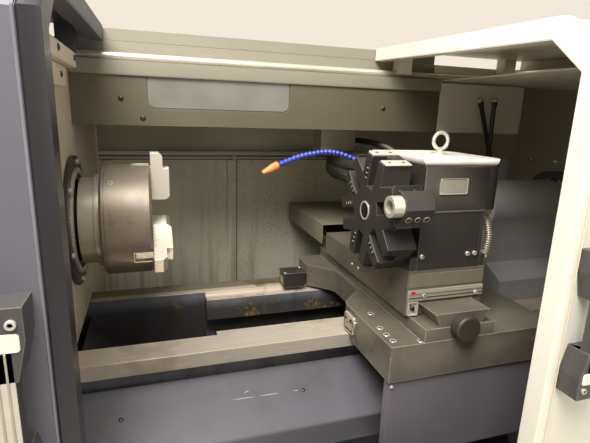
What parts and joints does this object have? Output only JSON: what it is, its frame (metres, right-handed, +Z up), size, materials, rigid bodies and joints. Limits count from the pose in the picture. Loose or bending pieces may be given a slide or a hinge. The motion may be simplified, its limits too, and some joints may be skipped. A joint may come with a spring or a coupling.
{
  "type": "cnc turning lathe",
  "caption": "Flat-bed CNC turning lathe in a sheet-metal enclosure with open sliding doors, three-jaw chuck, six-station turret and tailstock.",
  "frame": {"origin": "on the floor below the middle of the machine's length and depth", "axes": "+Z up, +X from the chuck to the tailstock, -Y towards the operator"},
  "size_m": [2.55, 1.4998, 1.56],
  "materials": {
    "slate_paint": "satin",
    "dark_slate_paint": "satin",
    "slate_casting": "satin",
    "grey_door_paint": "satin",
    "cream_paint": "satin",
    "stained_cream_paint": "satin",
    "dark_steel": "satin",
    "bright_steel": "polished",
    "black_steel": "satin",
    "pale_steel": "satin",
    "brushed_steel": "satin",
    "ground_iron": "satin",
    "cast_grey": "matte",
    "motor_grey": "satin",
    "turret_black": "satin",
    "rubber": "matte",
    "black_plastic": "matte",
    "hose_blue": "satin",
    "nozzle_orange": "matte",
    "lamp_glass": "polished",
    "window_tint": "polished",
    "signal_red": "satin"
  },
  "bodies": {
    "machine": {"bed": "slate_casting", "left_pedestal": "slate_paint", "right_pedestal": "slate_paint", "headstock": "slate_casting", "front_chip_tray": "slate_paint", "rear_chip_tray": "slate_paint", "chuck_side_wall": "stained_cream_paint", "wall_flange": "dark_steel", "headstock_cover": "grey_door_paint", "tailstock_cover": "cream_paint", "rear_wall": "stained_cream_paint", "upper_beam": "stained_cream_paint", "work_light": "lamp_glass", "door_rail": "bright_steel", "electrical_cabinet": "cream_paint", "control_panel": "grey_door_paint", "main_motor": "motor_grey", "drive_belt": "rubber", "bed_servo": "black_plastic", "coolant_tank": "slate_paint"},
    "cabinet_door": {"cabinet_door": "cream_paint"},
    "isolator": {"isolator_knob": "signal_red"},
    "stop_button": {"emergency_stop": "signal_red"},
    "bed_screw": {"bed_screw": "bright_steel"},
    "spindle": {"spindle": "black_steel", "chuck_adapter": "pale_steel", "chuck_body": "brushed_steel", "spindle_pulley": "cast_grey"},
    "jaw_1": {"jaw_1": "brushed_steel"},
    "jaw_2": {"jaw_2": "brushed_steel"},
    "jaw_3": {"jaw_3": "brushed_steel"},
    "motor_pulley": {"motor_pulley": "cast_grey"},
    "carriage": {"saddle": "ground_iron", "apron": "slate_paint", "cross_servo": "black_plastic", "cross_servo_cover": "dark_slate_paint", "screw_cap": "black_plastic"},
    "cross_screw": {"cross_screw": "bright_steel"},
    "cross_slide": {"cross_slide": "ground_iron", "turret_housing": "turret_black", "eyebolt": "bright_steel", "conduit": "brushed_steel", "turret_cable": "black_plastic", "cable_box": "pale_steel", "coolant_hose": "hose_blue", "coolant_nozzle": "nozzle_orange"},
    "turret": {"turret_disc": "turret_black", "tool_block": "turret_black", "boring_sleeve": "bright_steel"},
    "tailstock": {"tailstock_body": "slate_casting"},
    "quill": {"tailstock_quill": "bright_steel"},
    "handwheel": {"handwheel": "cast_grey"},
    "clamp_lever_1": {"clamp_lever_1": "black_steel"},
    "clamp_lever_2": {"clamp_lever_2": "black_steel"},
    "left_door": {"left_door": "grey_door_paint", "left_window": "window_tint", "left_handle": "cream_paint"},
    "right_door": {"right_door": "cream_paint", "right_window": "window_tint", "right_handle": "cream_paint"}
  },
  "joints": [
    {"name": "cabinet_door_hinge", "type": "hinge", "parent": "machine", "child": "cabinet_door", "pos_m": [-0.45, 0.7203, 0.875], "axis": [0, 0, 1], "range_deg": [0, 110]},
    {"name": "isolator_turn", "type": "hinge", "parent": "cabinet_door", "child": "isolator", "pos_m": [0.42, 0.7353, 1.15], "axis": [0, 1, 0], "range_deg": [0, 90]},
    {"name": "stop_press", "type": "slide", "parent": "machine", "child": "stop_button", "axis": [0, 1, 0], "range_m": [0, 0.005], "stiffness_N_per_m": 800},
    {"name": "carriage_slide", "type": "slide", "parent": "machine", "child": "carriage", "axis": [1, 0, 0], "range_m": [-0.32, 0.035]},
    {"name": "bed_screw_turn", "type": "hinge", "parent": "machine", "child": "bed_screw", "pos_m": [-0.608, -0.3, 0.745], "axis": [1, 0, 0], "range_deg": [-11540, 1280]},
    {"name": "cross_slide_feed", "type": "slide", "parent": "carriage", "child": "cross_slide", "axis": [0, 1, 0], "range_m": [-0.06, 0.11]},
    {"name": "cross_screw_turn", "type": "hinge", "parent": "carriage", "child": "cross_screw", "pos_m": [0.27, -0.484, 0.9685], "axis": [0, 1, 0], "range_deg": [-4340, 7940]},
    {"name": "turret_index", "type": "hinge", "parent": "cross_slide", "child": "turret", "pos_m": [0.173, -0.337, 1.183], "axis": [1, 0, 0], "continuous": true},
    {"name": "spindle_turn", "type": "hinge", "parent": "machine", "child": "spindle", "pos_m": [-0.497, -0.1, 1.13], "axis": [1, 0, 0], "continuous": true},
    {"name": "motor_turn", "type": "hinge", "parent": "machine", "child": "motor_pulley", "pos_m": [-1.177, 0.26, 0.749], "axis": [1, 0, 0], "continuous": true},
    {"name": "jaw_1_slide", "type": "slide", "parent": "spindle", "child": "jaw_1", "axis": [0, 0, 1], "range_m": [-0.0044, 0.0044]},
    {"name": "jaw_2_slide", "type": "slide", "parent": "spindle", "child": "jaw_2", "axis": [0, -0.866, -0.5], "range_m": [-0.0044, 0.0044]},
    {"name": "jaw_3_slide", "type": "slide", "parent": "spindle", "child": "jaw_3", "axis": [0, 0.866, -0.5], "range_m": [-0.0044, 0.0044]},
    {"name": "tailstock_slide", "type": "slide", "parent": "machine", "child": "tailstock", "axis": [1, 0, 0], "range_m": [-0.03, 0.12]},
    {"name": "quill_feed", "type": "slide", "parent": "tailstock", "child": "quill", "axis": [1, 0, 0], "range_m": [-0.08, 0.01]},
    {"name": "handwheel_turn", "type": "hinge", "parent": "tailstock", "child": "handwheel", "pos_m": [0.8693, -0.1, 1.13], "axis": [1, 0, 0], "range_deg": [-740, 5780]},
    {"name": "clamp_lever_1_turn", "type": "hinge", "parent": "tailstock", "child": "clamp_lever_1", "pos_m": [0.69, -0.0377, 1.235], "axis": [0, 1, 0], "range_deg": [-25, 20]},
    {"name": "clamp_lever_2_turn", "type": "hinge", "parent": "tailstock", "child": "clamp_lever_2", "pos_m": [0.64, -0.0723, 1.235], "axis": [0, 1, 0], "range_deg": [-20, 25]},
    {"name": "left_door_slide", "type": "slide", "parent": "machine", "child": "left_door", "axis": [1, 0, 0], "range_m": [-0.08, 0.409]},
    {"name": "right_door_slide", "type": "slide", "parent": "machine", "child": "right_door", "axis": [1, 0, 0], "range_m": [-0.288, 0.14]}
  ],
  "couplings": [
    {"joint": "jaw_2_slide", "follows": "jaw_1_slide", "ratio": 1},
    {"joint": "jaw_3_slide", "follows": "jaw_1_slide", "ratio": 1},
    {"joint": "motor_turn", "follows": "spindle_turn", "ratio": 1.5333},
    {"joint": "bed_screw_turn", "follows": "carriage_slide", "rad_per_m": 628.32},
    {"joint": "cross_screw_turn", "follows": "cross_slide_feed", "rad_per_m": 1256.6},
    {"joint": "handwheel_turn", "follows": "quill_feed", "rad_per_m": -1256.6}
  ]
}
